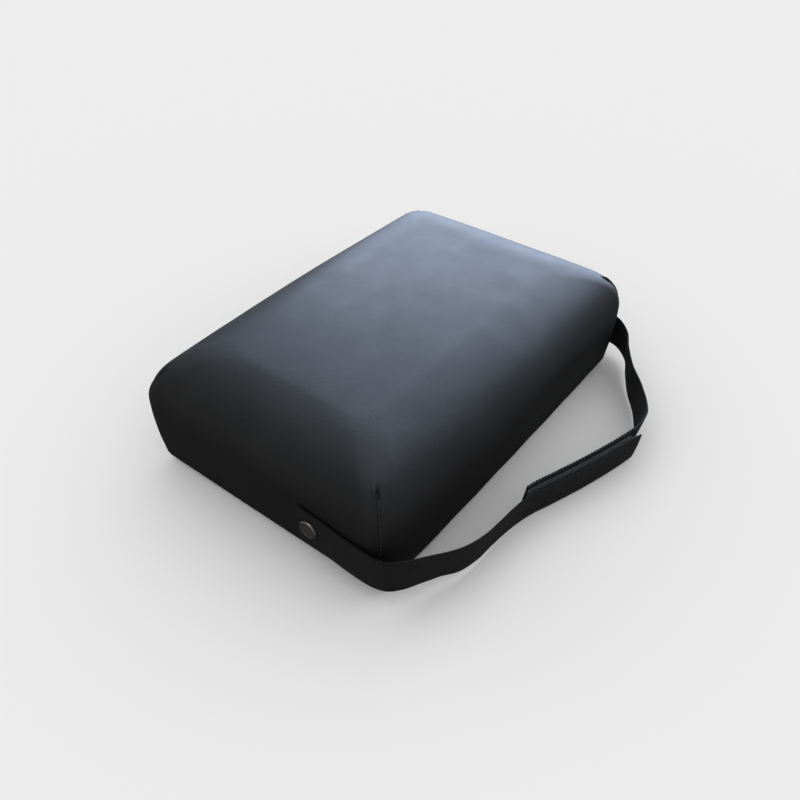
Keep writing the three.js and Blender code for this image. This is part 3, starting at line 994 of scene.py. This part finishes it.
def stitch_row(ribbon, start, stop, across, out):
    """Stitches in a line along a band, on its outer face if out is positive."""
    stitches = []
    for spot in np.arange(start, stop - STITCH_LENGTH, STITCH_PITCH):
        a = ribbon.at(spot, across, out)
        b = ribbon.at(spot + STITCH_LENGTH, across, out)
        up = ribbon.at(spot, across, out + math.copysign(1, out)) - a
        stitches.append((a, b, unit(up)))
    return stitches


def stitch_column(ribbon, spot, half, out):
    """Stitches in a line across a band."""
    stitches = []
    for across in np.arange(-half, half - STITCH_LENGTH, STITCH_PITCH):
        a = ribbon.at(spot, across, out)
        b = ribbon.at(spot, across + STITCH_LENGTH, out)
        up = ribbon.at(spot, across, out + math.copysign(1, out)) - a
        stitches.append((a, b, unit(up)))
    return stitches


def box_stitches(ribbon, start, stop, half, out):
    """A rectangle of stitches."""
    rows = stitch_row(ribbon, start, stop, half, out) + stitch_row(ribbon, start, stop, -half, out)
    ends = stitch_column(ribbon, start, half, out) + stitch_column(ribbon, stop, half, out)
    return rows + ends


def stitched(name, stitches, body, radius=LAP_THREAD_RADIUS):
    made = thread.dress(make_object(name, *stitch_mesh(stitches, radius), thread.material))
    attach(made, body)


near_lap_start = near_ribbon.reach[lap[trim]] + 2
near_lap_stop = near_ribbon.reach[lap[-1]]
face = WEB_BODY / 2 + 0.02
stitched(
    "near_lap_stitches",
    stitch_row(near_ribbon, near_lap_start, near_lap_stop - CORNER_RUN, LAP_STITCH_ACROSS, face)
    + stitch_row(near_ribbon, near_lap_start, near_lap_stop - 3, -LAP_STITCH_ACROSS, face),
    "strap_near",
)


def edge_loops(ribbon, start, stop, edge):
    """Slanted whip stitches that wrap over a band's edge."""
    stitches = []
    for spot in np.arange(start, stop, WHIP_PITCH):
        outer_low = ribbon.at(spot, edge - WHIP_DEPTH, -face)
        over = ribbon.at(spot + WHIP_SLANT, edge + WHIP_PROUD, 0)
        inner_low = ribbon.at(spot + 2 * WHIP_SLANT, edge - WHIP_DEPTH, face)
        top = unit(ribbon.at(spot, edge + 1, 0) - ribbon.at(spot, edge, 0))
        stitches.append((outer_low, over, top))
        stitches.append((over, inner_low, top))
    return stitches


far_lap_stop = far_ribbon.reach[len(lap) - trim]
stitched(
    "far_edge_stitches",
    edge_loops(far_ribbon, 1.0, far_lap_stop + 8, WEB_WIDTH / 2),
    "strap_far",
    WHIP_THREAD_RADIUS,
)
stitched(
    "far_lap_stitches",
    box_stitches(far_ribbon, 2.5, far_lap_stop - 2, LAP_STITCH_ACROSS, -face),
    "strap_far",
)

# ---------------------------------------------------------------- rivets

STRAP_FACE_OUT = STRAP_PLANE_X + STRAP_THICKNESS / 2 + LAYER_GAP
STRAP_FACE_IN = STRAP_PLANE_X - STRAP_THICKNESS / 2 - LAYER_GAP
CAP_RADIUS = 8.6
CAP_THICKNESS = 1.9
SHANK_RADIUS = 2.8
SHOULDER_RADIUS = 6.0
COVER_FACE = 198.0
RIVET_TAIL = 190.8


def lathe(profile, side, segments=72):
    """A turned shape on the pivot axis from (radius, x) pairs."""
    points = []
    turns = [2 * math.pi * k / segments for k in range(segments)]
    for radius, x in profile:
        for turn in turns:
            points.append((
                side * x,
                PIVOT_Y + radius * math.cos(turn),
                PIVOT_Z + radius * math.sin(turn),
            ))
    faces = grid_faces(len(profile), segments)
    faces.append(tuple(range(segments))[::-1])
    faces.append(tuple((len(profile) - 1) * segments + k for k in range(segments)))
    if side > 0:
        faces = [f[::-1] for f in faces]
    return points, faces


def rivet_profile():
    """A rivet's half section: tail, shank, shoulder and a cap with a rolled rim."""
    top = STRAP_FACE_OUT + CAP_THICKNESS
    profile = [
        (3.9, RIVET_TAIL),
        (4.4, RIVET_TAIL + 0.5),
        (4.4, RIVET_TAIL + 1.4),
        (SHANK_RADIUS, RIVET_TAIL + 1.7),
        (SHANK_RADIUS, COVER_FACE),
        (SHOULDER_RADIUS - 0.3, COVER_FACE),
        (SHOULDER_RADIUS, COVER_FACE + 0.3),
        (SHOULDER_RADIUS, STRAP_FACE_IN),
        (SHANK_RADIUS, STRAP_FACE_IN),
        (SHANK_RADIUS, STRAP_FACE_OUT),
        (CAP_RADIUS - 0.25, STRAP_FACE_OUT),
        (CAP_RADIUS, STRAP_FACE_OUT + 0.3),
    ]
    rim = CAP_THICKNESS - 0.3
    for step in range(1, 7):
        turn = step * math.pi / 12
        profile.append((
            CAP_RADIUS - 1.3 * (1 - math.cos(turn)),
            STRAP_FACE_OUT + 0.3 + rim * math.sin(turn),
        ))
    for radius, drop in ((6.9, 0.06), (6.6, 0.2), (6.2, 0.28), (4.0, 0.24), (2.0, 0.2), (0.6, 0.18)):
        profile.append((radius, top - drop))
    return profile


for name, node, side in (("near_rivet", "rivet_near", -1), ("far_rivet", "rivet_far", 1)):
    turned = make_object(name, *lathe(rivet_profile(), side), cap.material, 35)
    cap.dress(turned)
    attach(turned, "pad")
    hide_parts(node)

# ---------------------------------------------------------------- parts kept from the CAD

for name, node in frame["nodes"].items():
    if name == "base_panel":
        panel.dress(node)
    elif name == "base_board":
        plywood.dress(node)
    elif name.startswith(("panel_screw", "hem_staple", "washer")):
        steel.dress(node)

# ---------------------------------------------------------------- studio


def plain(name, colour, roughness=0.9):
    """An even, matt material without gloss."""
    made = bpy.data.materials.new(name)
    made.use_nodes = True
    shader = made.node_tree.nodes["Principled BSDF"]
    shader.inputs["Base Color"].default_value = (*colour, 1)
    shader.inputs["Roughness"].default_value = roughness
    shader.inputs["Specular IOR Level"].default_value = 0.0
    return made


def floor_object():
    """A round floor just under the pad, kept out of the pad's reflections."""
    count = 64
    around = [2 * math.pi * k / count for k in range(count)]
    reach = FLOOR_RADIUS / MM
    rim = [(math.cos(t) * reach, math.sin(t) * reach, -0.1) for t in around]
    made = make_object("floor", rim, [tuple(range(count))], plain("floor", (0.9, 0.9, 0.9)))
    made.visible_glossy = False


floor_object()


def softbox(name, azimuth, elevation, distance, width, height, radiance, colour):
    """An area light that faces the pad. Azimuth 0 is towards +Y and 90 towards -X, in degrees."""
    light = bpy.data.lights.new(name, "AREA")
    light.shape = "RECTANGLE"
    light.size, light.size_y = width, height
    light.energy = radiance * math.pi * width * height
    light.color = colour
    made = bpy.data.objects.new(name, light)
    bpy.context.scene.collection.objects.link(made)
    a, e = math.radians(azimuth), math.radians(elevation)
    away = Vector((-math.sin(a) * math.cos(e), math.cos(a) * math.cos(e), math.sin(e)))
    made.location = away * distance + Vector((0, 0, AIM_HEIGHT))
    made.rotation_euler = away.to_track_quat("Z", "Y").to_euler()
    return made


# The softboxes light every mesh but the floor, which the pale world lights.
softbox_lit = bpy.data.collections.new("softbox_lit")
for piece in bpy.data.objects:
    if piece.type == "MESH" and piece.name != "floor":
        softbox_lit.objects.link(piece)
for settings in SOFTBOXES:
    softbox(*settings).light_linking.receiver_collection = softbox_lit


def studio_world():
    """Even pale light all round. The gloss sees a dim room, so that only the softboxes show in it."""
    world = bpy.data.worlds.new("studio")
    world.use_nodes = True
    nodes, links = world.node_tree.nodes, world.node_tree.links
    pale = nodes["Background"]
    pale.inputs["Color"].default_value = (0.95, 0.95, 0.95, 1)
    room = nodes.new("ShaderNodeBackground")
    height = nodes.new("ShaderNodeSeparateXYZ")
    links.new(nodes.new("ShaderNodeTexCoord").outputs["Generated"], height.inputs["Vector"])
    rise = nodes.new("ShaderNodeMapRange")
    spans = (("From Min", -0.75), ("From Max", 0.15), ("To Min", 0.03), ("To Max", 0.2))
    for socket, value in spans:
        rise.inputs[socket].default_value = value
    links.new(height.outputs["Z"], rise.inputs["Value"])
    links.new(rise.outputs["Result"], room.inputs["Color"])
    ray = nodes.new("ShaderNodeLightPath")
    either = nodes.new("ShaderNodeMixShader")
    links.new(ray.outputs["Is Glossy Ray"], either.inputs["Fac"])
    links.new(pale.outputs["Background"], either.inputs[1])
    links.new(room.outputs["Background"], either.inputs[2])
    links.new(either.outputs["Shader"], nodes["World Output"].inputs["Surface"])
    bpy.context.scene.world = world


studio_world()

camera = bpy.data.objects.new("camera", bpy.data.cameras.new("camera"))
bpy.context.scene.collection.objects.link(camera)
camera.data.lens = CAMERA_LENS
camera.data.clip_start = CAMERA_CLIP_START
camera.location = CAMERA_PLACE
gaze = (CAMERA_AIM - CAMERA_PLACE).to_track_quat("-Z", "Y")
camera.rotation_mode = "QUATERNION"
camera.rotation_quaternion = gaze
camera.rotation_mode = "XYZ"
camera.rotation_euler.rotate_axis("Z", math.radians(-CAMERA_ROLL))
bpy.context.scene.camera = camera
bpy.context.scene.view_settings.view_transform = "Standard"
